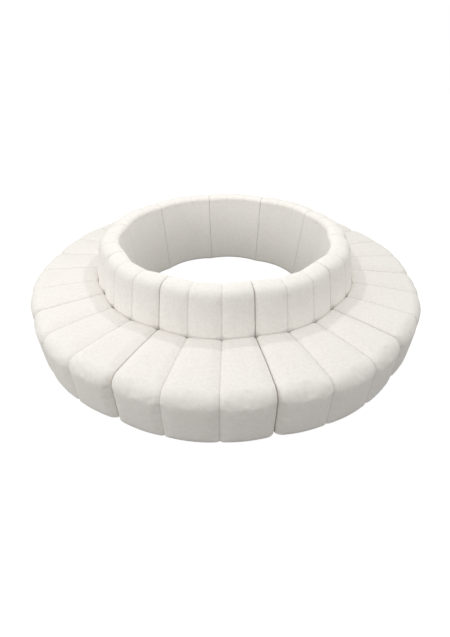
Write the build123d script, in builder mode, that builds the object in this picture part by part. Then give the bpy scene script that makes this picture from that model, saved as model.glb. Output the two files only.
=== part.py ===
"""Ring sofa: ten equal wedge-shaped seats that stand side by side in a full circle.

Each seat is a plywood carcass on floor glides, with elastic webbing across its seat, a padded
seat hood in three channels, a padded backrest hood in three channels, and a plain padded panel
that closes its back towards the open middle of the ring. The seats aren't tied together, so
each one can be pulled straight out of the ring. Their flanks point at the ring's axis, but
their curves are rounder than the ring, so each one bows out a little between its neighbours.

Frame: the ring's axis is +Z, the floor is z = 0, and the first seat faces -Y. Seats are numbered
anticlockwise as seen from above. Sizes are in millimetres and degrees.
"""

from build123d import *
from math import cos, degrees, dist, radians, sin, sqrt, tan
import os

# The ring
module_count = 10
channel_count = 3
inner_radius = 946.0
back_depth = 312.0
seat_depth = 587.0
curve_offset = 372.0
seat_height = 430.0
back_height = 772.0
module_gap = 0.9
cover_bottom = 7.0
fit_clearance = 0.3
hood_clearance = 0.8
overcut = 5.0

# Seat hood
seat_front_roll = 96.0
seat_bottom_roll = 12.0
seat_rear_roll = 10.0
seat_foam_depth = 82.0
cheek_thickness = 12.0
seat_top_bulge = 7.0
seat_front_bulge = 7.0
seat_crown = 8.0
front_crown = 5.0
seat_seam_reach = 26.0
seat_seam_depth = 9.0
seat_end_reach = 34.0
seat_end_depth = 11.0
front_corner_reach = 60.0
front_corner_depth = 32.0

# Backrest hood
back_face_slope = 12.0
back_foam_depth = 42.0
back_top_roll = 84.0
back_top_bulge = 5.0
back_crown = 5.0
back_seam_reach = 20.0
back_seam_depth = 7.0
back_end_reach = 30.0
back_end_depth = 13.0
nose_roll = 36.0
nose_lap = 7.0
nose_crown = 3.0
nose_end_reach = 40.0
nose_end_depth = 12.0

# Inner panel
inner_wall_slope = 4.1
panel_thickness = 22.0
panel_bulge = 2.0
panel_edge_roll = 10.0

# Plywood carcass
board = 18.0
skin = 6.0
rail_width = 60.0
window_margin = 52.0
upright_margin = 38.0
window_corner = 24.0

# Webbing
web_width = 50.0
web_thickness = 2.0
web_end_margin = 8.0
webs_per_channel = 2

# Floor glides
glide_radius = 20.0
glide_edge = 2.0
glide_inset = 58.0
front_glide_angle = 13.0
rear_glide_angle = 11.0

# How far through a hood's channel the loft sections stand
channel_section_shares = (0.0, 0.03, 0.1, 0.25, 0.5, 0.75, 0.9, 0.97, 1.0)

# The largest corner of a window, to its shortest side, and largest margin beside it, to its rib's width
window_corner_share = 0.4
window_margin_share = 0.35

# The largest share of the rim's width that the backrest's two rolls take up
rim_roll_share = 0.9

# Angles and levels that follow from the sizes above
module_angle = 360.0 / module_count
half_angle = module_angle / 2
channel_angle = module_angle / channel_count
gap_angle = degrees(module_gap / 2 / inner_radius)
back_lean = tan(radians(back_face_slope))
inner_lean = tan(radians(inner_wall_slope))
deck_top = seat_height - seat_foam_depth
web_bottom = deck_top - fit_clearance - web_thickness
rail_bottom = web_bottom - board
base_top = cover_bottom + board
ceiling = back_height - back_crown - back_end_depth - nose_roll - nose_lap
cap_top = ceiling - fit_clearance
upright_top = cap_top - board

# Radii that follow from the sizes above, in a seat's middle
back_face_radius = inner_radius + back_depth
seat_front_radius = back_face_radius + seat_depth
front_cavity = seat_front_radius - front_crown - front_corner_depth - cheek_thickness
front_skin_outer = front_cavity - fit_clearance
front_skin_inner = front_skin_outer - skin
frame_inset = cheek_thickness + fit_clearance

# Each seat's curves are struck from its own upright axis, so its front bows more than the ring
seat_axis = Axis((0, -curve_offset, 0), (0, 0, 1))
seat_section = Plane.XZ.offset(curve_offset)


def radial_plane(angle, inset=0.0):
    """Upright plane along the ring's radius at an angle: its x runs outwards and its y runs up.

    With an inset it stands that far clockwise of the radius, seen from above.
    """
    turn = radians(angle)
    place = (-inset * cos(turn), -inset * sin(turn), 0)
    return Plane(origin=place, x_dir=(sin(turn), -cos(turn), 0), z_dir=(-cos(turn), -sin(turn), 0))


def bowed(radius, angle):
    """Distance from the ring's axis, at an angle, of a curve with this radius in the seat's middle."""
    turn = radians(angle)
    return curve_offset * cos(turn) + sqrt((radius - curve_offset) ** 2 - (curve_offset * sin(turn)) ** 2)


def inner_face(height):
    """Radius at a height of the inner wall, which opens upwards."""
    return inner_radius + height * inner_lean


def panel_back(height):
    """Radius of the inner panel's back at a height."""
    return inner_face(height) + panel_thickness


def rear_skin_inner(height):
    """Radius at a height of the rear skin's face behind the inner panel."""
    return panel_back(height) + fit_clearance


def rear_skin_outer(height):
    """Radius of the rear skin's face on the ribs at a height."""
    return rear_skin_inner(height) + skin


def back_face(height):
    """Radius of the backrest's leaning face at a height, along the crest of a channel."""
    return back_face_radius - (height - deck_top) * back_lean


def back_hollow(height):
    """Radius of the hollow behind the backrest's foam at a height."""
    return back_face(height) - back_foam_depth


def skin_back(height):
    """Radius of the leaning edge of the ribs at a height, where the backrest's skin lies."""
    return back_hollow(height) - fit_clearance - skin


def roll_off(distance, reach, depth):
    """How far padding sinks at a distance from its seam: a quarter of an ellipse."""
    if distance >= reach:
        return 0.0
    return depth * (1 - sqrt(1 - (1 - distance / reach) ** 2))


def sink(share, width, crown, left, right):
    """How far padding lies under its crest at a share of its width.

    left and right are the (reach, depth) of the seam on that side.
    """
    dome = crown * (2 * share - 1) ** 2
    return dome + roll_off(share * width, *left) + roll_off((1 - share) * width, *right)


def channel_sink(channel, share, radius, crown, seam, end):
    """How far a channel of a hood lies under its crest, at a share of its width and at a radius."""
    width = radius * radians(channel_angle)
    left = end if channel == 0 else seam
    right = end if channel == channel_count - 1 else seam
    return sink(share, width, crown, left, right)


def inside_module(angle):
    """An angle moved inside the first seat's own wedge, clear of its neighbours."""
    return max(gap_angle - half_angle, min(half_angle - gap_angle, angle))


def wedge(inner, outer, inset):
    """Plan of a seat between two of its curves, with its flanks moved in by inset."""
    turn = radians(half_angle)
    reach = 2 * outer
    tip = -inset / sin(turn)
    with BuildSketch() as plan:
        with Locations((0, -curve_offset)):
            Circle(outer - curve_offset)
            Circle(inner - curve_offset, mode=Mode.SUBTRACT)
        with BuildLine():
            Polyline(
                (0, tip),
                (reach * sin(turn), tip - reach * cos(turn)),
                (-reach * sin(turn), tip - reach * cos(turn)),
                close=True,
            )
        make_face(mode=Mode.INTERSECT)
    return plan.sketch


def wedge_board(inner, outer, bottom, top):
    """Piece of the carcass with upright sides, as wide as the hoods' hollow leaves room for."""
    with BuildPart() as piece:
        with BuildSketch(Plane.XY.offset(bottom)):
            add(wedge(inner, outer, frame_inset))
        extrude(amount=top - bottom)
    return piece.part


def turned_profile(points, inset):
    """Space that a closed outline of (radius, height) sweeps round the seat's axis, cut to the wedge."""
    outer = max(radius for radius, height in points)
    top = max(height for radius, height in points)
    bottom = min(height for radius, height in points)
    with BuildPart() as space:
        with BuildSketch(seat_section):
            with BuildLine():
                Polyline(*[(radius - curve_offset, height) for radius, height in points], close=True)
            make_face()
        revolve(axis=seat_axis)
        with BuildSketch(Plane.XY.offset(bottom)):
            add(wedge(inner_radius - overcut, outer + overcut, inset))
        extrude(amount=top - bottom, mode=Mode.INTERSECT)
    return space.part


def write(name, *pieces):
    """Writes a node of the first seat, and its copy for each other seat."""
    solids = [solid for piece in pieces for solid in piece.solids()]
    for index in range(module_count):
        turn = Location((0, 0, 0), (0, 0, index * module_angle))
        node = Compound([solid.moved(turn) for solid in solids], label=f"{name}_{index + 1}")
        export_step(node, f"parts/{node.label}.step")


os.makedirs("parts", exist_ok=True)

# Seat hood: foam on top and in front and thin cheeks on the flanks, covered as one
seat_middle = (seat_front_radius + back_face_radius) / 2
edge_tangent = seat_rear_roll * tan(radians(90 + back_face_slope) / 2)
edge_over = edge_tangent * sin(radians(back_face_slope))
edge_down = edge_tangent * cos(radians(back_face_slope))
with BuildPart() as seat:
    for channel in range(channel_count):
        for share in channel_section_shares:
            angle = inside_module(channel_angle * (channel + share) - half_angle)
            top = seat_height - channel_sink(
                channel, share, seat_middle, seat_crown,
                (seat_seam_reach, seat_seam_depth), (seat_end_reach, seat_end_depth),
            )
            front = bowed(seat_front_radius, angle) - channel_sink(
                channel, share, seat_front_radius, front_crown,
                (seat_seam_reach, seat_seam_depth), (front_corner_reach, front_corner_depth),
            )
            rear = bowed(back_face_radius, angle) + hood_clearance
            rear_corner = rear + back_face(top) - back_face_radius
            low_rear = (rear, cover_bottom)
            deck_rear = (rear, deck_top)
            edge_low = (rear_corner + edge_over, top - edge_down)
            edge_top = (rear_corner + edge_tangent, top)
            roll_top = (front - seat_front_roll, top)
            roll_low = (front, top - seat_front_roll)
            toe_top = (front, cover_bottom + seat_bottom_roll)
            toe_low = (front - seat_bottom_roll, cover_bottom)
            with BuildSketch(radial_plane(angle)):
                with BuildLine():
                    Line(low_rear, toe_low)
                    RadiusArc(toe_low, toe_top, -seat_bottom_roll)
                    SagittaArc(toe_top, roll_low, -seat_front_bulge)
                    RadiusArc(roll_low, roll_top, -seat_front_roll)
                    SagittaArc(roll_top, edge_top, -seat_top_bulge)
                    RadiusArc(edge_top, edge_low, -seat_rear_roll)
                    Line(edge_low, deck_rear)
                    Line(deck_rear, low_rear)
                make_face()
        loft()
    with BuildSketch(Plane.XY.offset(cover_bottom - overcut)):
        add(wedge(inner_radius, front_cavity, cheek_thickness))
    extrude(amount=deck_top - cover_bottom + overcut, mode=Mode.SUBTRACT)
write("seat_hood", seat.part)

# Backrest hood: foam on the leaning face and over the top, and cheeks down to the floor
roll_turn = radians(90 - back_face_slope)
rim_width = back_face(back_height) - inner_face(back_height) - back_crown - back_end_depth - nose_crown
rolls_width = back_top_roll * tan(roll_turn / 2) + nose_roll
roll_fit = min(1, rim_roll_share * (rim_width - nose_end_depth) / rolls_width)
top_roll = back_top_roll * roll_fit
rim_roll = nose_roll * roll_fit
roll_tangent = top_roll * tan(roll_turn / 2)
back_low_hollow = (
    (inner_radius - overcut, cover_bottom - overcut),
    (back_face_radius + overcut, cover_bottom - overcut),
    (back_face_radius + overcut, deck_top),
    (back_hollow(deck_top), deck_top),
    (back_hollow(ceiling), ceiling),
    (inner_radius - overcut, ceiling),
)
with BuildPart() as back:
    for channel in range(channel_count):
        for share in channel_section_shares:
            angle = inside_module(channel_angle * (channel + share) - half_angle)
            face_sink = channel_sink(
                channel, share, back_face_radius, back_crown,
                (back_seam_reach, back_seam_depth), (back_end_reach, back_end_depth),
            )
            nose = bowed(inner_face(ceiling), angle) + channel_sink(
                channel, share, inner_radius, nose_crown, (nose_end_reach, 0.0),
                (nose_end_reach, nose_end_depth),
            )
            top = back_height - face_sink
            face = bowed(back_face_radius, angle) - face_sink
            corner = face + back_face(top) - back_face_radius
            low_rear = (bowed(rear_skin_inner(cover_bottom), angle), cover_bottom)
            high_rear = (bowed(rear_skin_inner(ceiling), angle), ceiling)
            low_front = (face, cover_bottom)
            deck_front = (face, deck_top)
            roll_low = (corner + roll_tangent * cos(roll_turn), top - roll_tangent * sin(roll_turn))
            roll_top = (corner - roll_tangent, top)
            nose_top = (nose + rim_roll, top)
            nose_low = (nose, top - rim_roll)
            with BuildSketch(radial_plane(angle)):
                with BuildLine():
                    Line(low_rear, low_front)
                    Line(low_front, deck_front)
                    Line(deck_front, roll_low)
                    RadiusArc(roll_low, roll_top, -top_roll)
                    SagittaArc(roll_top, nose_top, -back_top_bulge)
                    RadiusArc(nose_top, nose_low, -rim_roll)
                    Line(nose_low, (nose, ceiling))
                    Line((nose, ceiling), high_rear)
                    Line(high_rear, low_rear)
                make_face()
        loft()
    add(turned_profile(back_low_hollow, cheek_thickness), mode=Mode.SUBTRACT)
write("back_hood", back.part)

# Inner panel: a thin padded board, bent to the seat, that closes the back towards the middle
panel_top = ceiling - fit_clearance
panel_low_face = inner_face(cover_bottom) + panel_bulge - curve_offset
panel_high_face = inner_face(panel_top) + panel_bulge - curve_offset
panel_low_back = panel_back(cover_bottom) - curve_offset
panel_high_back = panel_back(panel_top) - curve_offset
with BuildPart() as inner_panel:
    with BuildSketch(seat_section):
        with BuildLine():
            Line((panel_low_back, cover_bottom), (panel_high_back, panel_top))
            Line((panel_high_back, panel_top), (panel_high_face, panel_top))
            SagittaArc((panel_high_face, panel_top), (panel_low_face, cover_bottom), -panel_bulge)
            Line((panel_low_face, cover_bottom), (panel_low_back, cover_bottom))
        make_face()
    revolve(axis=seat_axis)
    with BuildSketch(Plane.XY.offset(cover_bottom)):
        add(wedge(inner_radius - overcut, panel_back(panel_top) + overcut, module_gap / 2))
    extrude(amount=panel_top - cover_bottom, mode=Mode.INTERSECT)
    face = inner_panel.faces().filter_by(GeomType.PLANE, reverse=True).sort_by(Axis.Y)[-1]
    fillet(face.edges().sort_by(Axis.Z)[:-1], panel_edge_roll)
write("inner_panel", inner_panel.part)

# Plywood carcass: ribs on a base board, skins bent round them, rails and a cap on top
rib_outline = (
    (rear_skin_outer(base_top), base_top),
    (front_skin_inner, base_top),
    (front_skin_inner, rail_bottom),
    (skin_back(rail_bottom), rail_bottom),
    (skin_back(upright_top), upright_top),
    (rear_skin_outer(upright_top), upright_top),
)
rib_space = turned_profile(rib_outline, frame_inset)
seat_window = (
    (skin_back(rail_bottom) + window_margin, base_top + window_margin),
    (front_skin_inner - window_margin, base_top + window_margin),
    (front_skin_inner - window_margin, rail_bottom - window_margin),
    (skin_back(rail_bottom) + window_margin, rail_bottom - window_margin),
)
window_bottom = base_top + window_margin
window_top = upright_top - window_margin
upright_width = skin_back(window_top) - rear_skin_outer(window_top)
side_margin = min(upright_margin, window_margin_share * upright_width)
upright_window = (
    (rear_skin_outer(window_bottom) + side_margin, window_bottom),
    (skin_back(rail_bottom) - side_margin, window_bottom),
    (skin_back(rail_bottom) - side_margin, rail_bottom),
    (skin_back(window_top) - side_margin, window_top),
    (rear_skin_outer(window_top) + side_margin, window_top),
)


def rib(angle, inset):
    """Board on edge along a radius, cut to the seat's L shape, with two lightening windows."""
    with BuildPart() as piece:
        with BuildSketch(radial_plane(angle, inset)):
            with BuildLine():
                Polyline(
                    (inner_radius, cover_bottom), (seat_front_radius, cover_bottom),
                    (seat_front_radius, back_height), (inner_radius, back_height), close=True,
                )
            make_face()
            for window in (seat_window, upright_window):
                shortest = min(dist(window[place - 1], point) for place, point in enumerate(window))
                with BuildSketch(mode=Mode.PRIVATE) as hole:
                    with BuildLine():
                        Polyline(*[(bowed(radius, angle), height) for radius, height in window], close=True)
                    make_face()
                    fillet(hole.vertices(), min(window_corner, shortest * window_corner_share))
                add(hole.sketch, mode=Mode.SUBTRACT)
        extrude(amount=board)
        add(rib_space, mode=Mode.INTERSECT)
    return piece.part


rib_angles = [channel_angle * index - half_angle for index in range(1, channel_count)]
base_outline = (
    (rear_skin_outer(cover_bottom), cover_bottom),
    (front_skin_inner, cover_bottom),
    (front_skin_inner, base_top),
    (rear_skin_outer(base_top), base_top),
)
rear_skin_outline = (
    (rear_skin_inner(cover_bottom), cover_bottom),
    (rear_skin_outer(cover_bottom), cover_bottom),
    (rear_skin_outer(cap_top), cap_top),
    (rear_skin_inner(cap_top), cap_top),
)
cap_front = back_hollow(cap_top) - fit_clearance
cap_outline = (
    (rear_skin_outer(upright_top), upright_top),
    (cap_front, upright_top),
    (cap_front, cap_top),
    (rear_skin_outer(cap_top), cap_top),
)
back_skin_outline = (
    (skin_back(web_bottom), web_bottom),
    (skin_back(web_bottom) + skin, web_bottom),
    (skin_back(upright_top) + skin, upright_top),
    (skin_back(upright_top), upright_top),
)
rear_rail_inner = skin_back(rail_bottom)
carcass = [
    turned_profile(base_outline, frame_inset),
    turned_profile(rear_skin_outline, frame_inset),
    turned_profile(cap_outline, frame_inset),
    wedge_board(front_skin_inner, front_skin_outer, cover_bottom, web_bottom),
    wedge_board(front_skin_inner - rail_width, front_skin_inner, rail_bottom, web_bottom),
    wedge_board(rear_rail_inner, rear_rail_inner + rail_width, rail_bottom, web_bottom),
    turned_profile(back_skin_outline, frame_inset),
    rib(half_angle, frame_inset),
    rib(-half_angle, -frame_inset - board),
]
carcass += [rib(angle, -board / 2) for angle in rib_angles]
write("plywood_frame", *carcass)

# Webbing: elastic straps from the rear rail to the front rail, two in each bay
web_pitch = channel_angle / webs_per_channel
webs = []
for index in range(channel_count * webs_per_channel):
    angle = web_pitch * (index + 1 / 2) - half_angle
    web_start = bowed(rear_rail_inner + web_end_margin, angle)
    web_length = bowed(front_skin_inner - web_end_margin, angle) - web_start
    strap_plane = Plane(
        origin=(0, 0, web_bottom), x_dir=(sin(radians(angle)), -cos(radians(angle)), 0), z_dir=(0, 0, 1)
    )
    with BuildPart() as strap:
        with BuildSketch(strap_plane):
            with Locations((web_start + web_length / 2, 0)):
                Rectangle(web_length, web_width)
        extrude(amount=web_thickness)
    webs.append(strap.part)
write("seat_webbing", *webs)

# Floor glides: round feet under the base board, three in front and two behind
front_glide_radius = front_skin_inner - glide_inset
rear_glide_radius = rear_skin_outer(cover_bottom) + glide_inset
glide_places = [(front_glide_radius, turn) for turn in (-front_glide_angle, 0, front_glide_angle)]
glide_places += [(rear_glide_radius, turn) for turn in (-rear_glide_angle, rear_glide_angle)]
with BuildPart() as glides:
    with BuildSketch():
        for radius, turn in glide_places:
            reach = bowed(radius, turn)
            with Locations((reach * sin(radians(turn)), -reach * cos(radians(turn)))):
                Circle(glide_radius)
    extrude(amount=cover_bottom)
    chamfer(glides.faces().sort_by(Axis.Z)[: len(glide_places)].edges(), glide_edge)
write("floor_glides", glides.part)
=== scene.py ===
"""Ring sofa of ten wedge-shaped seats, dressed piece by piece in the order it is put together."""

import math
import bmesh
import bpy
import numpy as np
from mathutils import Matrix, Vector, noise


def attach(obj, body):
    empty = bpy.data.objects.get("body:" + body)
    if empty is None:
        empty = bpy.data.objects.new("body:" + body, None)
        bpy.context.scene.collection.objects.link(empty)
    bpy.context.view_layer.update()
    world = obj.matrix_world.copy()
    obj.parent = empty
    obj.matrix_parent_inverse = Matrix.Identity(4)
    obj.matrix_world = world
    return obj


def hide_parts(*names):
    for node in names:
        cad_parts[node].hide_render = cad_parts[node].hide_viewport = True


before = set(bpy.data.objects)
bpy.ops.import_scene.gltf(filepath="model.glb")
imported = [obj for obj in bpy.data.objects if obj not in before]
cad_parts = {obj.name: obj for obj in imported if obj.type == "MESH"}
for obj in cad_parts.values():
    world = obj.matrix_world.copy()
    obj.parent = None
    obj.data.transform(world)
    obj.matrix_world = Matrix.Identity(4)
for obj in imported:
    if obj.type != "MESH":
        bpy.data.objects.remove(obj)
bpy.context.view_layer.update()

# Floor glides
# Round polyethylene feet, nailed under each base board, three in front and two behind.
# Injection moulded, so they are dull black with a faint orange peel and grey scuffs.
SEATS = range(1, 11)
PEEL_SIZE = 0.0008
SCUFF_SIZE = 0.004


def linear(hex_colour):
    """An sRGB hex colour as linear RGBA."""
    channels = [int(hex_colour[place:place + 2], 16) / 255 for place in (1, 3, 5)]
    return (*[c / 12.92 if c <= 0.04045 else ((c + 0.055) / 1.055) ** 2.4 for c in channels], 1.0)


def add_node(tree, kind, inputs=(), **settings):
    """Adds a node to a tree, sets it, and links or fills its inputs."""
    node = tree.nodes.new(kind)
    for name, value in settings.items():
        setattr(node, name, value)
    for socket, value in dict(inputs).items():
        if isinstance(value, bpy.types.NodeSocket):
            tree.links.new(value, node.inputs[socket])
        else:
            node.inputs[socket].default_value = value
    return node


def new_material(name):
    """An empty material with a Principled shader, as (material, tree, shader)."""
    material = bpy.data.materials.new(name)
    material.use_nodes = True
    tree = material.node_tree
    tree.nodes.clear()
    shader = add_node(tree, "ShaderNodeBsdfPrincipled")
    add_node(tree, "ShaderNodeOutputMaterial", {"Surface": shader.outputs[0]})
    return material, tree, shader


def finish_cad_node(node, material):
    """Gives a carried-over CAD node its material."""
    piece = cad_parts[node]
    piece.data.materials.clear()
    piece.data.materials.append(material)


glide_plastic, tree, shader = new_material("moulded_polyethylene")
place = add_node(tree, "ShaderNodeTexCoord").outputs["Object"]
peel = add_node(tree, "ShaderNodeTexNoise", {"Vector": place, "Scale": 1 / PEEL_SIZE, "Detail": 2.0})
scuffs = add_node(tree, "ShaderNodeTexNoise", {"Vector": place, "Scale": 1 / SCUFF_SIZE, "Detail": 6.0})
scuffed = add_node(tree, "ShaderNodeValToRGB", {"Fac": scuffs.outputs["Fac"]})
for stop, position, colour in zip(scuffed.color_ramp.elements, (0.45, 0.75), ("#141414", "#34322F")):
    stop.position, stop.color = position, linear(colour)
bump = add_node(tree, "ShaderNodeBump", {"Height": peel.outputs["Fac"], "Strength": 0.15, "Distance": 0.0002})
tree.links.new(scuffed.outputs["Color"], shader.inputs["Base Color"])
tree.links.new(bump.outputs["Normal"], shader.inputs["Normal"])
shader.inputs["Roughness"].default_value = 0.5
for seat in SEATS:
    finish_cad_node(f"floor_glides_{seat}", glide_plastic)

# Carcass
# Birch plywood, cut on a router and glued and stapled: base board, ribs, rails, cap and bent skins.
# Pale rotary-cut birch with a long soft figure; whatever stands upright shows thin dark glue lines.
PLY_THICKNESS = 0.0015
FIGURE_LENGTH = 0.35
FIGURE_WIDTH = 0.018
LYING_FROM = 0.45


def wave_scale(period):
    """The scale of a Wave texture whose bands lie about a period apart."""
    return 1 / (math.pi * period)


plywood, tree, shader = new_material("birch_plywood")
place = add_node(tree, "ShaderNodeTexCoord").outputs["Object"]
stretch = add_node(
    tree, "ShaderNodeMapping",
    {"Vector": place, "Scale": (1 / FIGURE_LENGTH, 1 / FIGURE_WIDTH, 1 / FIGURE_WIDTH)},
)
figure = add_node(tree, "ShaderNodeTexNoise", {"Vector": stretch.outputs[0], "Scale": 1.0, "Detail": 6.0})
grain = add_node(tree, "ShaderNodeValToRGB", {"Fac": figure.outputs["Fac"]})
for stop, position, colour in zip(grain.color_ramp.elements, (0.3, 0.72), ("#C9A671", "#E4CB9B")):
    stop.position, stop.color = position, linear(colour)
plies = add_node(
    tree, "ShaderNodeTexWave", {"Vector": place, "Scale": wave_scale(2 * PLY_THICKNESS), "Distortion": 0.4},
    bands_direction="Z",
)
glue = add_node(tree, "ShaderNodeValToRGB", {"Fac": plies.outputs["Fac"]})
for stop, position, colour in zip(glue.color_ramp.elements, (0.06, 0.2), ("#8A6B42", "#FFFFFF")):
    stop.position, stop.color = position, linear(colour)
normal = add_node(tree, "ShaderNodeNewGeometry").outputs["Normal"]
upright = add_node(tree, "ShaderNodeSeparateXYZ", {0: normal}).outputs["Z"]
lying = add_node(tree, "ShaderNodeMath", {0: upright}, operation="ABSOLUTE").outputs[0]
edge = add_node(tree, "ShaderNodeMath", {0: LYING_FROM, 1: lying}, operation="GREATER_THAN").outputs[0]
lined = add_node(
    tree, "ShaderNodeMix", {"Factor": edge, 6: grain.outputs["Color"], 7: glue.outputs["Color"]},
    data_type="RGBA", blend_type="MULTIPLY",
)
bump = add_node(
    tree, "ShaderNodeBump", {"Height": figure.outputs["Fac"], "Strength": 0.2, "Distance": 0.0004}
)
tree.links.new(lined.outputs[2], shader.inputs["Base Color"])
tree.links.new(bump.outputs["Normal"], shader.inputs["Normal"])
shader.inputs["Roughness"].default_value = 0.62
for seat in SEATS:
    finish_cad_node(f"plywood_frame_{seat}", plywood)

# Seat webbing
# Elastic jute-and-rubber straps, 50 mm wide, stretched from the rear rail to the front rail.
# Plain woven from dark thread, so it looks coarse and dull.
WEB_THREAD = 0.0016

webbing, tree, shader = new_material("woven_elastic_webbing")
place = add_node(tree, "ShaderNodeTexCoord").outputs["Object"]
warp, weft = (
    add_node(
        tree, "ShaderNodeTexWave", {"Vector": place, "Scale": wave_scale(WEB_THREAD)},
        bands_direction=direction,
    ).outputs["Fac"]
    for direction in ("X", "Y")
)
weave = add_node(tree, "ShaderNodeMath", {0: warp, 1: weft}, operation="MULTIPLY")
threads = add_node(tree, "ShaderNodeValToRGB", {"Fac": weave.outputs[0]})
for stop, colour in zip(threads.color_ramp.elements, ("#1C1A18", "#5A5249")):
    stop.color = linear(colour)
bump = add_node(tree, "ShaderNodeBump", {"Height": weave.outputs[0], "Strength": 0.7, "Distance": 0.0006})
tree.links.new(threads.outputs["Color"], shader.inputs["Base Color"])
tree.links.new(bump.outputs["Normal"], shader.inputs["Normal"])
shader.inputs["Roughness"].default_value = 0.88
for seat in SEATS:
    finish_cad_node(f"seat_webbing_{seat}", webbing)

# Seat covers
# Off-white looped wool cloth over foam, sewn in three channels that run over the front to the hem.
# The cover is pulled tight over the foam, so each channel crowns a little and puckers at its seams.
CHANNELS = 3
SEAT_ANGLE = math.radians(36)
CHANNEL_ANGLE = SEAT_ANGLE / CHANNELS
SEAT_GAP = 0.0009
CURVE_OFFSET = 0.372
INNER_RADIUS = 0.946
INNER_SLOPE = math.tan(math.radians(4.1))
SEAT_FRONT_RADIUS = 1.845
SEAT_HEIGHT = 0.430
COVER_BOTTOM = 0.007
DECK_TOP = 0.348
BACK_FACE_RADIUS = 1.258
BACK_SLOPE = math.tan(math.radians(12))
HOOD_CLEARANCE = 0.0008
# Seams, ends and corners are a reach along the cover and a depth; the others are rises and radii.
SEAT_SIZES = {
    "crown": 0.008, "front_crown": 0.005, "top_bulge": 0.007, "front_bulge": 0.002,
    "front_roll": 0.090, "bottom_roll": 0.012, "rear_roll": 0.020,
    "seam": (0.034, 0.010), "end": (0.044, 0.028), "front_corner": (0.060, 0.040),
}
# Rows are numbered along a cover's outline: those that foam can press out, and those in the crevice.
SEAT_FREE_ROWS = (13, 89)
SEAT_CREVICE_ROWS = range(6, 12)
SEAT_COLUMNS = 34
SEAM_CROWDING = 0.75
# The hollow stops at the cheeks and the foam, and runs out past the hood behind and below.
CHEEK = 0.012
FRONT_HOLLOW = 1.796
REAR_RUN_OUT = 1.17
FOOT_RUN_OUT = -0.02
HOLLOW_COLUMNS = 24
FOAM_PRESSURE = 4.0
CLOTH_SLACK = 0.006
SEAT_SWELL = 0.006
STUFFING_FRAMES = 20
PUCKER_SPACING = 0.024
PUCKER_REACH = 0.030
PUCKER_DEPTH = 0.0011
PUCKER_STRETCH = 4
SEAM_HOLD = 0.006
WAVES_A_METRE = 6
WAVE_SHARE = 0.8
NEXT_PUCKERS = 7.3
NEXT_WAVES = 3.1
# Such a cloth's loops are 1 to 2 mm wide. They are drawn at 4 mm, in tufts of 22 mm, so that they show.
LOOP_SIZE = 0.004
TUFT_SIZE = 0.022
CLOUD_SIZE = 0.22
CLOUD_WEIGHT = 0.3
TUFT_WEIGHT = 0.4
UPHOLSTERY_COLOURS = ("#EEEAE3", "#F4F0EA")
# Beside seams and flanks, and in the crevice at the backrest, the cloth is mixed towards this grey: painted
# shade.
PAINTED_SHADE_COLOUR = "#A5A4A1"
PAINTED_SHADE_SHARE = 0.22
PAINTED_SHADE_REACH = 0.008
# The crevice rows count as this close to a seam, so that painted shade darkens them.
CREVICE_SHADE_DISTANCE = 0.001


def channel_columns(steps):
    """(channel, share) of each column of a hood's mesh, closer together beside the seams."""
    for channel in range(CHANNELS):
        for step in range(steps if channel < CHANNELS - 1 else steps + 1):
            even = step / steps
            crowded = 0.5 - 0.5 * math.cos(math.pi * even)
            yield channel, (1 - SEAM_CROWDING) * even + SEAM_CROWDING * crowded


def roll_off(distance, reach, depth):
    """How far padding sinks at a distance from a seat's flank: a quarter of an ellipse."""
    if distance >= reach:
        return 0.0
    return depth * (1 - math.sqrt(1 - (1 - distance / reach) ** 2))


def crease(distance, reach, depth):
    """How far padding sinks at a distance from a sewn seam: a soft valley with an open bottom."""
    return depth * max(0.0, 1 - distance / reach) ** 2


def channel_sink(channel, share, radius, crown, seam, end):
    """How far a channel lies under its crest, at a share of its width and at a radius."""
    width = radius * CHANNEL_ANGLE
    left = roll_off(share * width, *end) if channel == 0 else crease(share * width, *seam)
    rest = (1 - share) * width
    right = roll_off(rest, *end) if channel == CHANNELS - 1 else crease(rest, *seam)
    return crown * (2 * share - 1) ** 2 + left + right


def line(start, end, steps):
    """Points from start up to, but not with, end."""
    return [tuple(np.add(start, np.subtract(end, start) * n / steps)) for n in range(steps)]


def bulged(start, end, rise, steps):
    """Points on a shallow arc from start up to, but not with, end, that bulges to its left."""
    along = np.subtract(end, start)
    out = np.array((-along[1], along[0])) / np.linalg.norm(along)
    return [
        tuple(np.add(start, along * n / steps) + out * rise * 4 * (n / steps) * (1 - n / steps))
        for n in range(steps)
    ]


def arc(centre, radius, start, end, steps):
    """Points on an arc from one angle up to, but not with, the other, in degrees."""
    turns = [math.radians(start + (end - start) * n / steps) for n in range(steps)]
    return [(centre[0] + radius * math.cos(turn), centre[1] + radius * math.sin(turn)) for turn in turns]


def bowed(radius, angle):
    """Distance from the ring's axis of a curve struck from its seat's own centre, at an angle."""
    run = (radius - CURVE_OFFSET) ** 2 - (CURVE_OFFSET * math.sin(angle)) ** 2
    return CURVE_OFFSET * math.cos(angle) + math.sqrt(run)


def back_face(height):
    """Radius of the backrest's leaning face at a height, along the crest of a channel."""
    return BACK_FACE_RADIUS - (height - DECK_TOP) * BACK_SLOPE


def inner_face(height):
    """Radius of the inner wall, which opens upwards, at a height."""
    return INNER_RADIUS + height * INNER_SLOPE


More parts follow.
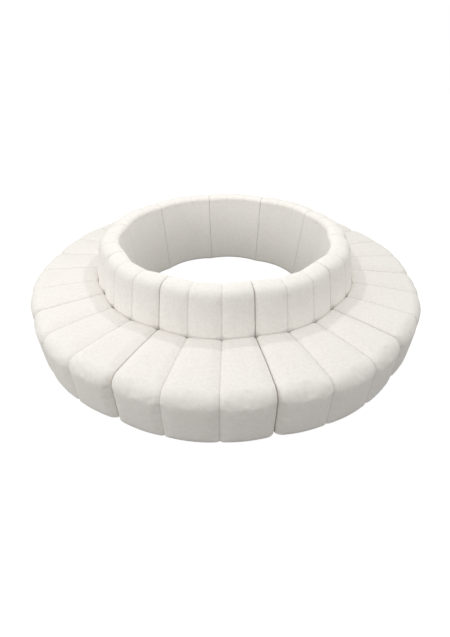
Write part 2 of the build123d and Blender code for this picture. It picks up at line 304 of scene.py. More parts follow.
def seat_profile(channel, share, angle):
    """Closed outline of the seat cover in (radius, height), at a share of a channel's width."""
    size = SEAT_SIZES
    middle = (SEAT_FRONT_RADIUS + BACK_FACE_RADIUS) / 2
    top = SEAT_HEIGHT - channel_sink(channel, share, middle, size["crown"], size["seam"], size["end"])
    front = bowed(SEAT_FRONT_RADIUS, angle) - channel_sink(
        channel, share, SEAT_FRONT_RADIUS, size["front_crown"], size["seam"], size["front_corner"]
    )
    roll, toe = size["front_roll"], size["bottom_roll"]
    rear = bowed(BACK_FACE_RADIUS, angle) + HOOD_CLEARANCE
    lean = math.degrees(math.atan(BACK_SLOPE))
    edge = size["rear_roll"]
    edge_start = edge * math.tan(math.radians(90 + lean) / 2)
    centre = (rear + back_face(top) - BACK_FACE_RADIUS + edge_start, top - edge)
    edge_low = (
        centre[0] - edge * math.cos(math.radians(lean)), centre[1] - edge * math.sin(math.radians(lean))
    )
    return (
        line((rear, COVER_BOTTOM), (rear, DECK_TOP), 3)
        + line((rear, DECK_TOP), edge_low, 6)
        + arc(centre, edge, 180 + lean, 90, 5)
        + bulged((centre[0], top), (front - roll, top), size["top_bulge"], 40)
        + arc((front - roll, top - roll), roll, 90, 0, 16)
        + bulged((front, top - roll), (front, COVER_BOTTOM + toe), size["front_bulge"], 16)
        + arc((front - toe, COVER_BOTTOM + toe), toe, 0, -90, 7)
        + line((front - toe, COVER_BOTTOM), (rear, COVER_BOTTOM), 8)
    )


def new_object(name, data):
    """A new object in the scene, at the origin."""
    thing = bpy.data.objects.new(name, data)
    bpy.context.scene.collection.objects.link(thing)
    return thing


def closed_skin(name, points, rows, seam_distance):
    """A closed skin over columns of points, each of so many rows, whose points know their seam's distance."""
    last = len(points) - rows
    faces = []
    for low in range(0, last, rows):
        high = low + rows
        faces += [(low + n, low + (n + 1) % rows, high + (n + 1) % rows, high + n) for n in range(rows)]
    faces += [tuple(reversed(range(rows))), tuple(range(last, last + rows))]
    mesh = bpy.data.meshes.new(name)
    mesh.from_pydata(points, [], faces)
    seam = mesh.attributes.new("seam_distance", "FLOAT", "POINT")
    seam.data.foreach_set("value", np.array(seam_distance, np.float32))
    outward = bmesh.new()
    outward.from_mesh(mesh)
    bmesh.ops.recalc_face_normals(outward, faces=outward.faces)
    outward.to_mesh(mesh)
    outward.free()
    return new_object(name, mesh)


def hood_mesh(name, profile_of, steps, crevice_rows):
    """The first seat's hood as a skin of quads, of so many columns a channel."""
    spare = SEAT_GAP / 2 / INNER_RADIUS
    points, seam_distance = [], []
    for channel, share in channel_columns(steps):
        angle = CHANNEL_ANGLE * (channel + share) - SEAT_ANGLE / 2
        angle = max(spare - SEAT_ANGLE / 2, min(SEAT_ANGLE / 2 - spare, angle))
        profile = profile_of(channel, share, angle)
        for row, (radius, height) in enumerate(profile):
            points.append((radius * math.sin(angle), -radius * math.cos(angle), height))
            seam = min(share, 1 - share) * CHANNEL_ANGLE * radius
            # Crevice rows are set close to a seam only so that the cloth is painted darker there, as shade.
            seam_distance.append(min(seam, CREVICE_SHADE_DISTANCE) if row in crevice_rows else seam)
    return closed_skin(name, points, len(profile), seam_distance)


def vertices_of(mesh):
    """A mesh's vertices as an array of rows."""
    flat = np.empty(len(mesh.vertices) * 3)
    mesh.vertices.foreach_get("co", flat)
    return flat.reshape(-1, 3)


def stuff(piece, steps, free_rows, swell):
    """Lets foam press the cover out between its seams, by swell at most, with cloth simulation."""
    start = vertices_of(piece.data)
    rows = len(start) // (CHANNELS * steps + 1)
    pinned = piece.vertex_groups.new(name="sewn")
    fixed = [
        index for index in range(len(start))
        if index // rows % steps == 0 or not free_rows[0] <= index % rows < free_rows[1]
        or index // rows in (1, CHANNELS * steps - 1)
    ]
    pinned.add(fixed, 1.0, "ADD")
    cloth = piece.modifiers.new("stuffing", "CLOTH")
    cloth.settings.vertex_group_mass = "sewn"
    cloth.settings.quality = 6
    cloth.settings.mass = 0.25
    cloth.settings.tension_stiffness = cloth.settings.compression_stiffness = 18
    cloth.settings.shear_stiffness = 9
    cloth.settings.bending_stiffness = 0.6
    cloth.settings.shrink_min = -CLOTH_SLACK
    cloth.settings.use_pressure = True
    cloth.settings.uniform_pressure_force = FOAM_PRESSURE
    cloth.settings.effector_weights.gravity = 0
    cloth.collision_settings.use_self_collision = False
    cloth.point_cache.frame_start, cloth.point_cache.frame_end = 1, STUFFING_FRAMES
    for step in range(1, STUFFING_FRAMES + 1):
        bpy.context.scene.frame_set(step)
    settled = piece.evaluated_get(bpy.context.evaluated_depsgraph_get())
    moved = vertices_of(settled.data) - start
    length = np.maximum(np.linalg.norm(moved, axis=1, keepdims=True), 1e-9)
    moved *= np.minimum(1, swell / length)
    piece.modifiers.remove(cloth)
    bpy.context.scene.frame_set(1)
    piece.data.vertices.foreach_set("co", (start + moved).ravel())
    piece.data.update()


def bake(piece):
    """Turns a piece with modifiers into a plain mesh."""
    graph = bpy.context.evaluated_depsgraph_get()
    mesh = bpy.data.meshes.new_from_object(piece.evaluated_get(graph))
    piece.modifiers.clear()
    piece.data = mesh


def hollow_out(piece, outline):
    """Cuts the hollow that the carcass fills out of a hood; outline is in (radius, height)."""
    points = []
    for column in range(HOLLOW_COLUMNS + 1):
        for radius, height in outline:
            limit = SEAT_ANGLE / 2 - math.asin(CHEEK / bowed(radius, SEAT_ANGLE / 2))
            angle = limit * (2 * column / HOLLOW_COLUMNS - 1)
            reach = bowed(radius, angle)
            points.append((reach * math.sin(angle), -reach * math.cos(angle), height))
    far_from_seams = np.ones(len(points))
    cutter = closed_skin("hollow", points, len(outline), far_from_seams)
    cut = piece.modifiers.new("hollow", "BOOLEAN")
    cut.object, cut.operation, cut.solver = cutter, "DIFFERENCE", "EXACT"
    bake(piece)
    bpy.data.objects.remove(cutter)


def smooth_but_sharp(mesh, limit):
    """Shades a mesh smooth, apart from edges that turn more than limit degrees."""
    shaded = bmesh.new()
    shaded.from_mesh(mesh)
    for face in shaded.faces:
        face.smooth = True
    for edge in shaded.edges:
        edge.smooth = edge.calc_face_angle(0) < math.radians(limit)
    shaded.to_mesh(mesh)
    shaded.free()


def upholster(hood, steps, free_rows, swell, hollow):
    """Finishes the first seat's hood: pressed out by foam, rounded, hollowed out and shaded."""
    stuff(hood, steps, free_rows, swell)
    finer = hood.modifiers.new("finer", "SUBSURF")
    finer.levels = finer.render_levels = 1
    bake(hood)
    hollow_out(hood, hollow)
    smooth_but_sharp(hood.data, limit=45)


def keep_in_wedge(points):
    """Moves points that have bulged past a seat's flank back inside it."""
    for side in (-1, 1):
        turn = side * SEAT_ANGLE / 2
        out = np.array((math.cos(turn), math.sin(turn), 0)) * side
        past = points @ out + SEAT_GAP / 2
        points -= np.outer(np.maximum(past, 0), out)
    return points


def pucker(piece, seed):
    """Small tension folds that run out from the seams, and the foam's own slow unevenness."""
    mesh = piece.data
    points = vertices_of(mesh)
    distance = np.empty(len(points))
    mesh.attributes["seam_distance"].data.foreach_get("value", distance)
    normals = np.empty(len(points) * 3)
    mesh.vertices.foreach_get("normal", normals)
    normals = normals.reshape(-1, 3)
    shift = np.empty(len(points))
    for index, (point, gap) in enumerate(zip(points, distance)):
        radius = math.hypot(point[0], point[1])
        across = radius * math.atan2(point[0], -point[1]) / PUCKER_STRETCH
        along = Vector((radius, point[2], across)) / PUCKER_SPACING + Vector((seed * NEXT_PUCKERS, 0, 0))
        folds = noise.noise(along) * math.exp(-((gap / PUCKER_REACH) ** 2))
        slow = noise.noise(Vector(point) * WAVES_A_METRE + Vector((seed * NEXT_WAVES, 0, 0)))
        shift[index] = PUCKER_DEPTH * (2 * folds * min(1, gap / SEAM_HOLD) + WAVE_SHARE * slow)
    moved = keep_in_wedge(points + normals * shift[:, None])
    mesh.vertices.foreach_set("co", moved.ravel())
    mesh.update()


def looped_cloth(name, colours):
    """Matte looped wool: round loops, uneven tufts of them, slow clouding, and painted shade at seams and
    crevices.
    """
    material, tree, shader = new_material(name)
    place = add_node(tree, "ShaderNodeTexCoord").outputs["Object"]
    loops = add_node(
        tree, "ShaderNodeTexVoronoi", {"Vector": place, "Scale": 1 / LOOP_SIZE}, feature="SMOOTH_F1"
    ).outputs["Distance"]
    tufts = add_node(
        tree, "ShaderNodeTexNoise", {"Vector": place, "Scale": 1 / TUFT_SIZE, "Detail": 3.0}
    ).outputs["Fac"]
    clouds = add_node(
        tree, "ShaderNodeTexNoise", {"Vector": place, "Scale": 1 / CLOUD_SIZE, "Detail": 4.0}
    ).outputs["Fac"]
    uneven = add_node(
        tree, "ShaderNodeMath", {0: clouds, 1: CLOUD_WEIGHT, 2: tufts}, operation="MULTIPLY_ADD"
    )
    tone = add_node(tree, "ShaderNodeValToRGB", {"Fac": uneven.outputs[0]})
    for stop, position, colour in zip(tone.color_ramp.elements, (0.48, 0.80), colours):
        stop.position, stop.color = position, linear(colour)
    # Near a seam, a flank or the crevice the colour is mixed towards grey: painted shade.
    seam = add_node(tree, "ShaderNodeAttribute", attribute_name="seam_distance").outputs["Fac"]
    painted_shade = add_node(
        tree, "ShaderNodeMapRange",
        {"Value": seam, "From Min": 0.0, "From Max": PAINTED_SHADE_REACH, "To Min": PAINTED_SHADE_SHARE, "To Max": 0.0},
    )
    shade = add_node(
        tree, "ShaderNodeMix", {"Factor": painted_shade.outputs[0], 6: tone.outputs["Color"], 7: linear(PAINTED_SHADE_COLOUR)},
        data_type="RGBA",
    )
    height = add_node(tree, "ShaderNodeMath", {0: tufts, 1: TUFT_WEIGHT, 2: loops}, operation="MULTIPLY_ADD")
    bump = add_node(
        tree, "ShaderNodeBump", {"Height": height.outputs[0], "Strength": 0.5, "Distance": 0.0016}
    )
    rough = add_node(tree, "ShaderNodeMapRange", {"Value": tufts, "To Min": 0.82, "To Max": 0.96})
    tree.links.new(shade.outputs[2], shader.inputs["Base Color"])
    tree.links.new(rough.outputs[0], shader.inputs["Roughness"])
    tree.links.new(bump.outputs["Normal"], shader.inputs["Normal"])
    shader.inputs["Specular IOR Level"].default_value = 0.25
    shader.inputs["Sheen Weight"].default_value = 0.12
    shader.inputs["Sheen Roughness"].default_value = 0.6
    return material


def dress(name, pattern, node, material):
    """Copies a finished hood to each seat of the ring, a little uneven from seat to seat."""
    for seat in SEATS:
        piece = new_object(f"{name}_{seat}", pattern.data.copy())
        pucker(piece, seat)
        piece.data.transform(Matrix.Rotation(SEAT_ANGLE * (seat - 1), 4, "Z"))
        piece.data.materials.clear()
        piece.data.materials.append(material)
        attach(piece, f"module_{seat}")
        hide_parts(f"{node}_{seat}")
    bpy.data.objects.remove(pattern)


seat_upholstery = looped_cloth("looped_seat_cloth", UPHOLSTERY_COLOURS)
seat_pattern = hood_mesh("seat_pattern", seat_profile, SEAT_COLUMNS, SEAT_CREVICE_ROWS)
seat_hollow = [
    (REAR_RUN_OUT, FOOT_RUN_OUT), (FRONT_HOLLOW, FOOT_RUN_OUT),
    (FRONT_HOLLOW, DECK_TOP), (REAR_RUN_OUT, DECK_TOP),
]
upholster(seat_pattern, SEAT_COLUMNS, SEAT_FREE_ROWS, SEAT_SWELL, seat_hollow)
dress("seat_cover", seat_pattern, "seat_hood", seat_upholstery)

# Backrest covers
# The same upholstery over thinner foam, in three channels that run up the face and over the rim.
# It hooks over the inner edge, where it is tacked down under the inner panel's top edge.
BACK_HEIGHT = 0.772
CEILING = 0.711
BACK_FOAM = 0.042
PANEL_BACK = 0.0223
BACK_SIZES = {
    "crown": 0.005, "nose_crown": 0.003, "top_bulge": 0.005, "top_roll": 0.084, "nose_roll": 0.036,
    "seam": (0.026, 0.008), "end": (0.038, 0.018), "rim_seam": (0.020, 0.002), "rim_end": (0.030, 0.007),
    "nose_seam": (0.016, 0.0), "nose_end": (0.034, 0.007), "face_bulge": 0.005,
}
# Close points beside the hook's corner keep it sharp when the skin is rounded.
CORNER_TIGHT = 0.0004
CORNER_SIDE = 0.003
BACK_FREE_ROWS = (9, 67)
BACK_CREVICE_ROWS = range(62, 67)
BACK_COLUMNS = 28
BACK_SWELL = 0.005
INNER_RUN_OUT = 0.93
FACE_RUN_OUT = 1.29


def back_profile(channel, share, angle):
    """Closed outline of the backrest cover in (radius, height), at a share of a channel's width."""
    size = BACK_SIZES
    sink = channel_sink(channel, share, BACK_FACE_RADIUS, size["crown"], size["seam"], size["end"])
    nose = bowed(inner_face(CEILING), angle) + channel_sink(
        channel, share, INNER_RADIUS, size["nose_crown"], size["nose_seam"], size["nose_end"]
    )
    low_rear = (bowed(inner_face(COVER_BOTTOM) + PANEL_BACK, angle), COVER_BOTTOM)
    high_rear = (bowed(inner_face(CEILING) + PANEL_BACK, angle), CEILING)
    top = BACK_HEIGHT - channel_sink(
        channel, share, INNER_RADIUS, size["crown"], size["rim_seam"], size["rim_end"]
    )
    face = bowed(BACK_FACE_RADIUS, angle) - sink
    corner = face + back_face(top) - BACK_FACE_RADIUS
    lean = math.degrees(math.atan(BACK_SLOPE))
    roll, nose_roll = size["top_roll"], size["nose_roll"]
    tangent = roll * math.tan(math.radians(90 - lean) / 2)
    centre = (corner - tangent, top - roll)
    roll_low = (
        centre[0] + roll * math.cos(math.radians(lean)), centre[1] + roll * math.sin(math.radians(lean))
    )
    deck = (face, DECK_TOP)
    return (
        line(high_rear, (nose + CORNER_TIGHT, CEILING), 3)
        + [(nose + CORNER_TIGHT, CEILING), (nose, CEILING), (nose, CEILING + CORNER_TIGHT)]
        + line((nose, CEILING + CORNER_SIDE), (nose, top - nose_roll), 2)
        + arc((nose + nose_roll, top - nose_roll), nose_roll, 180, 90, 8)
        + bulged((nose + nose_roll, top), (corner - tangent, top), size["top_bulge"], 12)
        + arc(centre, roll, 90, lean, 11)
        + bulged(roll_low, deck, size["face_bulge"], 30)
        + line(deck, (face, COVER_BOTTOM), 4)
        + line((face, COVER_BOTTOM), low_rear, 4)
        + line(low_rear, high_rear, 6)
    )


back_upholstery = looped_cloth("looped_back_cloth", UPHOLSTERY_COLOURS)
back_pattern = hood_mesh("back_pattern", back_profile, BACK_COLUMNS, BACK_CREVICE_ROWS)
back_hollow = [
    (INNER_RUN_OUT, FOOT_RUN_OUT), (FACE_RUN_OUT, FOOT_RUN_OUT), (FACE_RUN_OUT, DECK_TOP),
    (BACK_FACE_RADIUS - BACK_FOAM, DECK_TOP), (back_face(CEILING) - BACK_FOAM, CEILING),
    (INNER_RUN_OUT, CEILING),
]
upholster(back_pattern, BACK_COLUMNS, BACK_FREE_ROWS, BACK_SWELL, back_hollow)
dress("back_cover", back_pattern, "back_hood", back_upholstery)

# Inner panels
# Thin board with a few millimetres of padding, bent to the seat's curve and covered plain.
# Its edges are wrapped round the board, so they roll off quickly; it closes the seat's back.
PANEL_THICKNESS = 0.022
PANEL_HEIGHT = 0.7037
PANEL_WIDTH = INNER_RADIUS * SEAT_ANGLE - SEAT_GAP
PANEL_EDGE_REACH = 0.030
PANEL_EDGE_DEPTH = 0.012
PANEL_BULGE = 0.003
PANEL_UNEVENNESS = 0.0008
WAVES_A_PANEL = 4.0
PANEL_COLOURS = ("#EBE8E1", "#F1EEE8")


def new_tree(name, inputs, output):
    """A Geometry Nodes tree with named inputs and one output, as (tree, what its inputs give)."""
    tree = bpy.data.node_groups.new(name, "GeometryNodeTree")
    for label, kind, value in inputs:
        socket = tree.interface.new_socket(label, in_out="INPUT", socket_type=f"NodeSocket{kind}")
        if value is not None:
            socket.default_value = value
    tree.interface.new_socket(output, in_out="OUTPUT", socket_type="NodeSocketGeometry")
    return tree, add_node(tree, "NodeGroupInput").outputs


def apply_tree(piece, tree, values):
    """Makes a piece's mesh with a tree, whose inputs are given by their names."""
    rule = piece.modifiers.new(tree.name, "NODES")
    rule.node_group = tree
    for item in tree.interface.items_tree:
        if item.in_out == "INPUT" and item.name in values:
            rule[item.identifier] = values[item.name]
    bake(piece)


panel, given = new_tree(
    "bent_padded_panel",
    (
        ("Turn", "Float", 0.0),
        ("Inner Radius", "Float", INNER_RADIUS),
        ("Curve Offset", "Float", CURVE_OFFSET),
        ("Width", "Float", PANEL_WIDTH),
        ("Height", "Float", PANEL_HEIGHT),
        ("Bottom", "Float", COVER_BOTTOM),
        ("Thickness", "Float", PANEL_THICKNESS),
        ("Lean", "Float", INNER_SLOPE),
        ("Edge Reach", "Float", PANEL_EDGE_REACH),
        ("Edge Depth", "Float", PANEL_EDGE_DEPTH),
        ("Bulge", "Float", PANEL_BULGE),
        ("Unevenness", "Float", PANEL_UNEVENNESS),
        ("Cover", "Material", None),
    ),
    "Panel",
)
block = add_node(
    panel, "GeometryNodeMeshCube",
    {"Size": (1.0, 1.0, 1.0), "Vertices X": 66, "Vertices Y": 4, "Vertices Z": 60},
)
position = add_node(panel, "GeometryNodeInputPosition").outputs[0]
axes = add_node(panel, "ShaderNodeSeparateXYZ", {0: position}).outputs
# Columns and rows of the block are drawn towards its edges, where the padding rolls off.
crowded = []
for even in (axes["X"], axes["Z"]):
    square = add_node(panel, "ShaderNodeMath", {0: even, 1: even}, operation="MULTIPLY").outputs[0]
    ease = add_node(
        panel, "ShaderNodeMath", {0: square, 1: -2.0, 2: 1.5}, operation="MULTIPLY_ADD"
    ).outputs[0]
    crowded.append(add_node(panel, "ShaderNodeMath", {0: even, 1: ease}, operation="MULTIPLY").outputs[0])
across, up = crowded
# The distance to the nearest edge gives how far the padding has sunk there.
off = add_node(panel, "ShaderNodeMath", {0: across}, operation="ABSOLUTE").outputs[0]
left = add_node(panel, "ShaderNodeMath", {0: 0.5, 1: off}, operation="SUBTRACT").outputs[0]
side_margin = add_node(
    panel, "ShaderNodeMath", {0: left, 1: given["Width"]}, operation="MULTIPLY"
).outputs[0]
rise = add_node(panel, "ShaderNodeMath", {0: up, 1: 0.5}, operation="ADD").outputs[0]
hem = add_node(panel, "ShaderNodeMath", {0: rise, 1: given["Height"]}, operation="MULTIPLY").outputs[0]
margin = add_node(panel, "ShaderNodeMath", {0: side_margin, 1: hem}, operation="MINIMUM").outputs[0]
near = add_node(
    panel, "ShaderNodeMath", {0: margin, 1: given["Edge Reach"]}, operation="DIVIDE", use_clamp=True
).outputs[0]
away = add_node(panel, "ShaderNodeMath", {0: 1.0, 1: near}, operation="SUBTRACT").outputs[0]
away_square = add_node(panel, "ShaderNodeMath", {0: away, 1: away}, operation="MULTIPLY").outputs[0]
inside = add_node(panel, "ShaderNodeMath", {0: 1.0, 1: away_square}, operation="SUBTRACT").outputs[0]
ellipse = add_node(panel, "ShaderNodeMath", {0: inside}, operation="SQRT").outputs[0]
dip = add_node(panel, "ShaderNodeMath", {0: 1.0, 1: ellipse}, operation="SUBTRACT").outputs[0]
sunk = add_node(panel, "ShaderNodeMath", {0: dip, 1: given["Edge Depth"]}, operation="MULTIPLY").outputs[0]
up_square = add_node(panel, "ShaderNodeMath", {0: up, 1: up}, operation="MULTIPLY").outputs[0]
belly = add_node(
    panel, "ShaderNodeMath", {0: up_square, 1: -4.0, 2: 1.0}, operation="MULTIPLY_ADD"
).outputs[0]
bulge = add_node(panel, "ShaderNodeMath", {0: belly, 1: given["Bulge"]}, operation="MULTIPLY").outputs[0]
waves = add_node(
    panel, "ShaderNodeTexNoise",
    {"W": given["Turn"], "Vector": position, "Scale": WAVES_A_PANEL, "Detail": 2.0},
    noise_dimensions="4D",
)
wave = add_node(
    panel, "ShaderNodeMath", {0: waves.outputs["Fac"], 1: given["Unevenness"]}, operation="MULTIPLY"
).outputs[0]
# The leaning wall's radius, and the padded face and the board's back beside it.
z = add_node(panel, "ShaderNodeMath", {0: hem, 1: given["Bottom"]}, operation="ADD").outputs[0]
wall = add_node(
    panel, "ShaderNodeMath", {0: z, 1: given["Lean"], 2: given["Inner Radius"]}, operation="MULTIPLY_ADD"
).outputs[0]
face = add_node(panel, "ShaderNodeMath", {0: wall, 1: sunk}, operation="ADD").outputs[0]
face = add_node(panel, "ShaderNodeMath", {0: face, 1: wave}, operation="ADD").outputs[0]
face = add_node(panel, "ShaderNodeMath", {0: face, 1: bulge}, operation="SUBTRACT").outputs[0]
back = add_node(panel, "ShaderNodeMath", {0: wall, 1: given["Thickness"]}, operation="ADD").outputs[0]
depth_share = add_node(panel, "ShaderNodeMath", {0: axes["Y"], 1: 0.5}, operation="ADD").outputs[0]
middle_radius = add_node(panel, "ShaderNodeMix", {"Factor": depth_share, "A": face, "B": back}).outputs[0]
# The panel is bent about its seat's own centre and turned to its seat's place in the ring.
arc_length = add_node(
    panel, "ShaderNodeMath", {0: across, 1: given["Width"]}, operation="MULTIPLY"
).outputs[0]
swing = add_node(
    panel, "ShaderNodeMath", {0: arc_length, 1: given["Inner Radius"]}, operation="DIVIDE"
).outputs[0]
swing_sine = add_node(panel, "ShaderNodeMath", {0: swing}, operation="SINE").outputs[0]
swing_cosine = add_node(panel, "ShaderNodeMath", {0: swing}, operation="COSINE").outputs[0]
aside = add_node(
    panel, "ShaderNodeMath", {0: swing_sine, 1: given["Curve Offset"]}, operation="MULTIPLY"
).outputs[0]
aside_square = add_node(panel, "ShaderNodeMath", {0: aside, 1: aside}, operation="MULTIPLY").outputs[0]
own = add_node(
    panel, "ShaderNodeMath", {0: middle_radius, 1: given["Curve Offset"]}, operation="SUBTRACT"
).outputs[0]
own_square = add_node(panel, "ShaderNodeMath", {0: own, 1: own}, operation="MULTIPLY").outputs[0]
run_square = add_node(
    panel, "ShaderNodeMath", {0: own_square, 1: aside_square}, operation="SUBTRACT"
).outputs[0]
run = add_node(panel, "ShaderNodeMath", {0: run_square}, operation="SQRT").outputs[0]
radius = add_node(
    panel, "ShaderNodeMath", {0: swing_cosine, 1: given["Curve Offset"], 2: run}, operation="MULTIPLY_ADD"
).outputs[0]
turn = add_node(panel, "ShaderNodeMath", {0: swing, 1: given["Turn"]}, operation="ADD").outputs[0]
sine = add_node(panel, "ShaderNodeMath", {0: turn}, operation="SINE").outputs[0]
cosine = add_node(panel, "ShaderNodeMath", {0: turn}, operation="COSINE").outputs[0]
x = add_node(panel, "ShaderNodeMath", {0: radius, 1: sine}, operation="MULTIPLY").outputs[0]
toward = add_node(panel, "ShaderNodeMath", {0: radius, 1: -1.0}, operation="MULTIPLY").outputs[0]
y = add_node(panel, "ShaderNodeMath", {0: toward, 1: cosine}, operation="MULTIPLY").outputs[0]
bent_position = add_node(panel, "ShaderNodeCombineXYZ", {"X": x, "Y": y, "Z": z}).outputs[0]
# The stored distance also darkens the cloth along the panel's edges: painted shade.
stored = add_node(
    panel, "GeometryNodeStoreNamedAttribute",
    {"Geometry": block.outputs["Mesh"], "Name": "seam_distance", "Value": margin},
)
bent = add_node(panel, "GeometryNodeSetPosition", {"Geometry": stored.outputs[0], "Position": bent_position})
outward = add_node(panel, "GeometryNodeFlipFaces", {0: bent.outputs[0]})
smooth = add_node(panel, "GeometryNodeSetShadeSmooth", {"Geometry": outward.outputs[0]})
whole = add_node(panel, "GeometryNodeRealizeInstances", {0: smooth.outputs[0]})
covered = add_node(
    panel, "GeometryNodeSetMaterial", {"Geometry": whole.outputs[0], "Material": given["Cover"]}
)
add_node(panel, "NodeGroupOutput", {0: covered.outputs[0]})

panel_upholstery = looped_cloth("looped_panel_cloth", PANEL_COLOURS)
for seat in SEATS:
    piece = new_object(f"inner_cover_{seat}", bpy.data.meshes.new("panel"))
    apply_tree(piece, panel, {"Turn": SEAT_ANGLE * (seat - 1), "Cover": panel_upholstery})
    smooth_but_sharp(piece.data, limit=60)
    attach(piece, f"module_{seat}")
    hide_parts(f"inner_panel_{seat}")

# Seam stitches
# Bonded polyester thread, one lockstitch row in the bottom of each channel's seam.
# Each stitch is a short, slightly sunk dash; the thread is a shade darker than the cover.
STITCH_PITCH = 0.0105
STITCH_LENGTH = 0.0078
THREAD_RADIUS = 0.0006
THREAD_TWIST = 0.001224
SEAM_WANDER = 0.002
STITCH_MARGIN = 0.004
RIM_MARGIN = 0.030

stitches, given = new_tree(
    "stitches_on_seam",
    (
        ("Seam", "Geometry", None),
        ("Pitch", "Float", STITCH_PITCH),
        ("Length", "Float", STITCH_LENGTH),
        ("Thread Radius", "Float", THREAD_RADIUS),
        ("Thread", "Material", None),
    ),
    "Stitches",
)
seam_curve = add_node(stitches, "GeometryNodeMeshToCurve", {0: given["Seam"]})
spots = add_node(
    stitches, "GeometryNodeCurveToPoints", {"Curve": seam_curve.outputs[0], "Length": given["Pitch"]},
    mode="LENGTH",
)
dash = add_node(
    stitches, "GeometryNodeMeshCylinder",
    {"Vertices": 6, "Side Segments": 2, "Radius": given["Thread Radius"], "Depth": given["Length"]},
    fill_type="TRIANGLE_FAN",
)
lying_along = add_node(
    stitches, "FunctionNodeAlignRotationToVector", {"Vector": spots.outputs["Tangent"]}, axis="Z"
)
sewn = add_node(
    stitches, "GeometryNodeInstanceOnPoints",
    {"Points": spots.outputs["Points"], "Instance": dash.outputs["Mesh"], "Rotation": lying_along.outputs[0]},
)
whole = add_node(stitches, "GeometryNodeRealizeInstances", {0: sewn.outputs[0]})
rounded = add_node(stitches, "GeometryNodeSetShadeSmooth", {"Geometry": whole.outputs[0]})
threaded = add_node(
    stitches, "GeometryNodeSetMaterial", {"Geometry": rounded.outputs[0], "Material": given["Thread"]}
)
add_node(stitches, "NodeGroupOutput", {0: threaded.outputs[0]})

thread, tree, shader = new_material("bonded_polyester_thread")
place = add_node(tree, "ShaderNodeTexCoord").outputs["Object"]
twist = add_node(
    tree, "ShaderNodeTexWave", {"Vector": place, "Scale": wave_scale(THREAD_TWIST), "Distortion": 1.0},
    bands_direction="DIAGONAL",
)
strands = add_node(tree, "ShaderNodeValToRGB", {"Fac": twist.outputs["Fac"]})
for stop, colour in zip(strands.color_ramp.elements, ("#B4B2AD", "#D0CEC9")):
    stop.color = linear(colour)
tree.links.new(strands.outputs["Color"], shader.inputs["Base Color"])
shader.inputs["Roughness"].default_value = 0.55


def shows_on_seat(point):
    """True for a point of the seat cover that lies in front of the backrest and above the hem."""
    radius = math.hypot(point[0], point[1])
    drop = BACK_FACE_RADIUS - bowed(BACK_FACE_RADIUS, CHANNEL_ANGLE / 2)
    return radius > back_face(point[2]) - drop + STITCH_MARGIN and point[2] > COVER_BOTTOM + STITCH_MARGIN


def shows_on_back(point):
    """True for a point of the backrest cover's face, between the seat and the rim."""
    radius = math.hypot(point[0], point[1])
    return radius > back_face(BACK_HEIGHT) - RIM_MARGIN and SEAT_HEIGHT < point[2] < CEILING


def seam_lines(cover, turn, shows):
    """The channel seams of a turned seat's cover, where they show, as a mesh of edges."""
    points = vertices_of(cover.data)
    distance = np.empty(len(points))
    cover.data.attributes["seam_distance"].data.foreach_get("value", distance)
    on_seam = set()
    for index in np.nonzero(distance < 1e-6)[0]:
        point = points[index]
        swung = (math.atan2(point[0], -point[1]) - turn + math.pi) % math.tau - math.pi
        if abs(abs(swung) - CHANNEL_ANGLE / 2) < SEAM_WANDER and shows(point):
            on_seam.add(index)
    kept = [edge.vertices for edge in cover.data.edges if on_seam.issuperset(edge.vertices)]
    used = sorted({vertex for edge in kept for vertex in edge})
    number = {vertex: place for place, vertex in enumerate(used)}
    mesh = bpy.data.meshes.new("seam")
    mesh.from_pydata(
        [tuple(points[vertex]) for vertex in used], [tuple(number[v] for v in edge) for edge in kept], []
    )
    return mesh


for seat in SEATS:
    for part, shows in (("seat", shows_on_seat), ("back", shows_on_back)):
        seam = seam_lines(bpy.data.objects[f"{part}_cover_{seat}"], SEAT_ANGLE * (seat - 1), shows)
        piece = new_object(f"{part}_stitches_{seat}", seam)
        apply_tree(piece, stitches, {"Thread": thread})
        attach(piece, f"module_{seat}")

# Studio
# A plain white floor that runs out of sight, and an even sky with a broad soft box overhead.
# A small lamp over the open middle casts the rim's shadow on the seats; a soft one fills from the left.
# The camera stands where the photograph was taken from, 2.1 m up and 3.3 m from the ring's middle.
CAMERA_TURN = math.radians(7.093)
CAMERA_DISTANCE = 3.2625
CAMERA_HEIGHT = 2.0865
CAMERA_PITCH = math.radians(36.169)
FOCAL_PIXELS = 353.65
IMAGE_HEIGHT = 637
SENSOR = 36.0
FLOOR_HALF = 30.0
FLOOR_COLOUR = "#787775"
FLOOR_GLOW = 0.92
SKY_LEVEL = 0.81


def sees_backdrop(tree):
    """1 for a ray that shows the backdrop: one from the camera, off a gloss or through glass."""
    path = add_node(tree, "ShaderNodeLightPath")
    seen = path.outputs["Is Camera Ray"]
    for ray in ("Is Glossy Ray", "Is Transmission Ray"):
        seen = add_node(
            tree, "ShaderNodeMath", {0: seen, 1: path.outputs[ray]}, operation="MAXIMUM"
        ).outputs[0]
    return seen


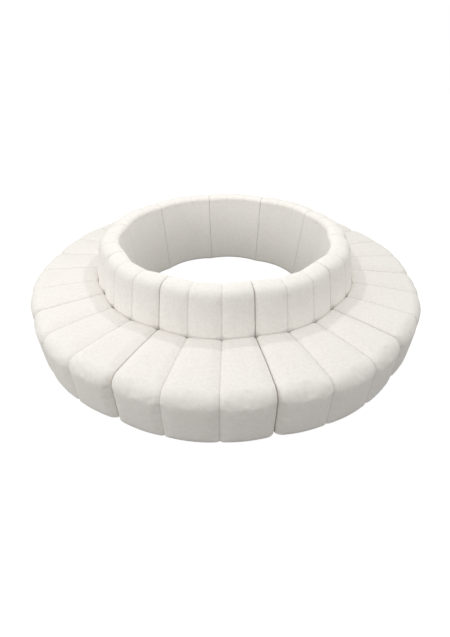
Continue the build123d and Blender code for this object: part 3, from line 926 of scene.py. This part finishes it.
floor_mesh = bpy.data.meshes.new("floor")
corners = [(x * FLOOR_HALF, y * FLOOR_HALF, 0) for x, y in ((-1, -1), (1, -1), (1, 1), (-1, 1))]
floor_mesh.from_pydata(corners, [], [(0, 1, 2, 3)])
floor = new_object("floor", floor_mesh)
floor_paint, tree, shader = new_material("floor_paint")
tree.links.new(sees_backdrop(tree), shader.inputs["Emission Strength"])
shader.inputs["Base Color"].default_value = linear(FLOOR_COLOUR)
shader.inputs["Emission Color"].default_value = (FLOOR_GLOW, FLOOR_GLOW, FLOOR_GLOW, 1.0)
shader.inputs["Roughness"].default_value = 0.95
shader.inputs["Specular IOR Level"].default_value = 0.0
floor_mesh.materials.append(floor_paint)

world = bpy.data.worlds.new("studio")
bpy.context.scene.world = world
world.use_nodes = True
tree = world.node_tree
tree.nodes.clear()
level = add_node(tree, "ShaderNodeMix", {"Factor": sees_backdrop(tree), "A": SKY_LEVEL, "B": 1.0}).outputs[0]
sky = add_node(tree, "ShaderNodeBackground", {"Color": (1.0, 1.0, 1.0, 1.0), "Strength": level})
add_node(tree, "ShaderNodeOutputWorld", {"Surface": sky.outputs[0]})


def soft_lamp(name, place, size, power, aim=(0, 0, 0)):
    """A square soft lamp at a place, aimed at a point."""
    data = bpy.data.lights.new(name, "AREA")
    data.shape, data.size, data.energy = "SQUARE", size, power
    lamp = new_object(name, data)
    lamp.location = place
    lamp.rotation_mode = "QUATERNION"
    lamp.rotation_quaternion = (Vector(aim) - Vector(place)).to_track_quat("-Z", "Y")


soft_lamp("overhead_box", (0.0, 0.4, 5.0), size=6.0, power=32)
soft_lamp("middle_lamp", (0.0, 0.0, 2.4), size=0.06, power=8.5)
soft_lamp("left_lamp", (-3.5, -2.8, 2.1), size=1.4, power=27)

camera_data = bpy.data.cameras.new("camera")
camera_data.sensor_width = SENSOR
camera_data.lens = FOCAL_PIXELS * SENSOR / IMAGE_HEIGHT
camera = new_object("camera", camera_data)
camera.location = (
    CAMERA_DISTANCE * math.sin(CAMERA_TURN), -CAMERA_DISTANCE * math.cos(CAMERA_TURN), CAMERA_HEIGHT
)
camera.rotation_euler = (math.pi / 2 - CAMERA_PITCH, 0, CAMERA_TURN)
bpy.context.scene.camera = camera
bpy.context.scene.view_settings.view_transform = "Standard"
